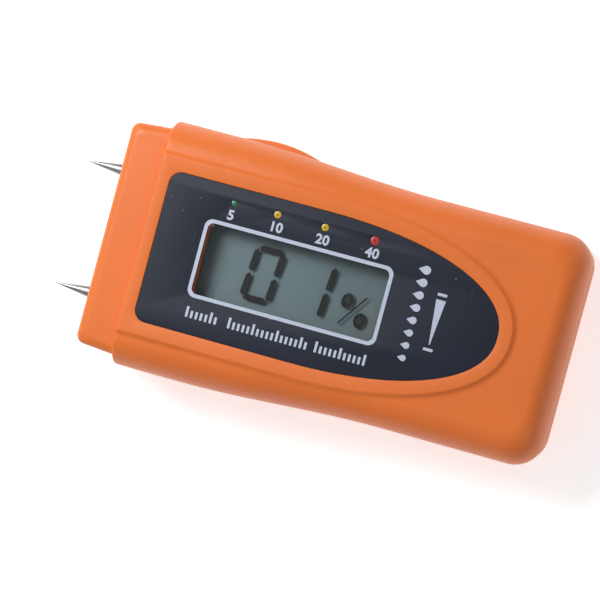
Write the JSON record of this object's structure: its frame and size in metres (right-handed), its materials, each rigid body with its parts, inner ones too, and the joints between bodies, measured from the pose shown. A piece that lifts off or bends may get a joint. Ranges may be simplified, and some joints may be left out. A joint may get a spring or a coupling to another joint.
{
  "type": "moisture meter",
  "caption": "Pocket two-pin moisture meter with a liquid crystal display, threshold lamps, a side power button, coin cells and a sliding battery door.",
  "frame": {"origin": "on the surface that the meter rests on, level with the tips of the domes on its back, half way along the case without its pins and half way across it", "axes": "+X from the pins to the butt, +Y towards the top of the display, +Z out of the display"},
  "size_m": [0.1034, 0.0509, 0.0252],
  "materials": {
    "orange_case": "satin moulded ABS",
    "label_film": "dark printed film, satin",
    "window_clear": "clear, smooth",
    "lens_green": "translucent printed spot",
    "lens_yellow": "translucent printed spot",
    "lens_red": "translucent printed spot",
    "display_glass": "display glass with grey-green film",
    "silver_film": "reflective backing film",
    "white_plastic": "moulded, matte",
    "contact_rubber": "conductive elastomer strip",
    "circuit_board": "solder-masked laminate",
    "black_plastic": "moulded package",
    "chip_parts": "ceramic chips",
    "trimmer_blue": "moulded adjuster",
    "contact_brass": "plated spring brass",
    "pin_steel": "ground and polished steel",
    "cell_steel": "plated steel can",
    "screw_steel": "zinc plated"
  },
  "bodies": {
    "case": {"front_case": "orange_case", "rear_case": "orange_case", "face_label": "label_film", "display_window": "window_clear", "lens_green": "lens_green", "lens_yellow_low": "lens_yellow", "lens_yellow_high": "lens_yellow", "lens_red": "lens_red", "lcd_glass": "display_glass", "lcd_reflector": "silver_film", "lcd_holder": "white_plastic", "zebra_strip_upper": "contact_rubber", "zebra_strip_lower": "contact_rubber", "main_board": "circuit_board", "controller_chip": "black_plastic", "amplifier_chip": "black_plastic", "chip_resistors": "chip_parts", "chip_capacitors": "chip_parts", "calibration_trimmer": "trimmer_blue", "led_green": "lens_green", "led_yellow_low": "lens_yellow", "led_yellow_high": "lens_yellow", "led_red": "lens_red", "switch_body": "black_plastic", "probe_pin_upper": "pin_steel", "probe_pin_lower": "pin_steel", "probe_socket_upper": "contact_brass", "probe_socket_lower": "contact_brass", "coin_cell_outer": "cell_steel", "coin_cell_middle": "cell_steel", "coin_cell_inner": "cell_steel", "battery_contact_end": "contact_brass", "battery_contact_side": "contact_brass", "case_screws": "screw_steel", "board_screws": "screw_steel"},
    "power_button": {"power_button": "orange_case"},
    "switch_plunger": {"switch_plunger": "black_plastic"},
    "battery_door": {"battery_door": "orange_case"}
  },
  "joints": [
    {"name": "power_button_press", "type": "slide", "parent": "case", "child": "power_button", "axis": [0, -1, 0], "range_m": [0, 0.0006], "stiffness_N_per_m": 1500, "springref_m": -0.0004},
    {"name": "switch_plunger_press", "type": "slide", "parent": "case", "child": "switch_plunger", "axis": [0, -1, 0], "range_m": [0, 0.0006]},
    {"name": "battery_door_slide", "type": "slide", "parent": "case", "child": "battery_door", "axis": [1, 0, 0], "range_m": [0, 0.036]}
  ],
  "couplings": [
    {"joint": "switch_plunger_press", "follows": "power_button_press", "ratio": 1}
  ]
}
